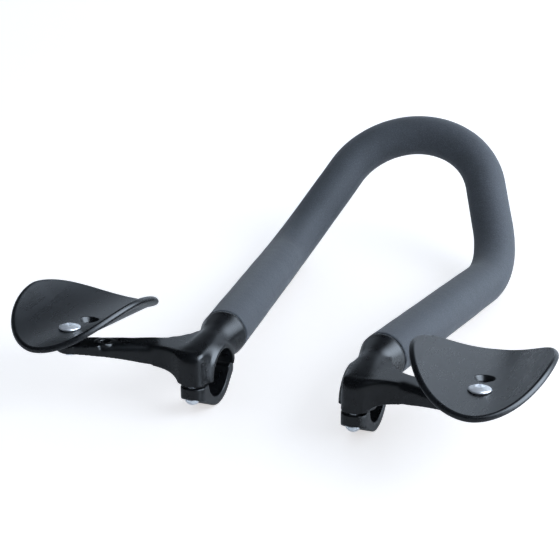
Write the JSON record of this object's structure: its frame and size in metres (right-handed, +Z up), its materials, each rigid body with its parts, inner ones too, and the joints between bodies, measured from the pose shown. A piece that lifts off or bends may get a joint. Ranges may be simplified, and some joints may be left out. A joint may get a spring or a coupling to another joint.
{
  "type": "aero handlebar extension",
  "caption": "Clip-on handlebar extension: a raised foam-sleeved loop in a pair of clamps, with a scooped armrest on an arm beside each clamp.",
  "frame": {"origin": "middle of the handlebar axis, halfway between the two clamps", "axes": "+X along the handlebar to the rider's right, +Y forward along the extension, +Z up as the part stands"},
  "size_m": [0.3422, 0.4062, 0.0985],
  "materials": {
    "tube_finish": "dark anodised, hidden under the foam",
    "foam": "matte closed-cell foam with a fine speckle",
    "black_casting": "smooth semi-gloss black on a cast and machined alloy",
    "black_plastic": "smooth gloss moulding with faint handling marks",
    "bright_steel": "bright machined"
  },
  "bodies": {
    "root": {"extension_tube": "tube_finish", "foam_sleeve": "foam", "right_bracket": "black_casting", "left_bracket": "black_casting", "right_clamp_cap": "black_casting", "left_clamp_cap": "black_casting", "right_clamp_bolt": "bright_steel", "left_clamp_bolt": "bright_steel", "right_armrest": "black_plastic", "left_armrest": "black_plastic", "right_armrest_screw": "bright_steel", "left_armrest_screw": "bright_steel"}
  },
  "joints": []
}
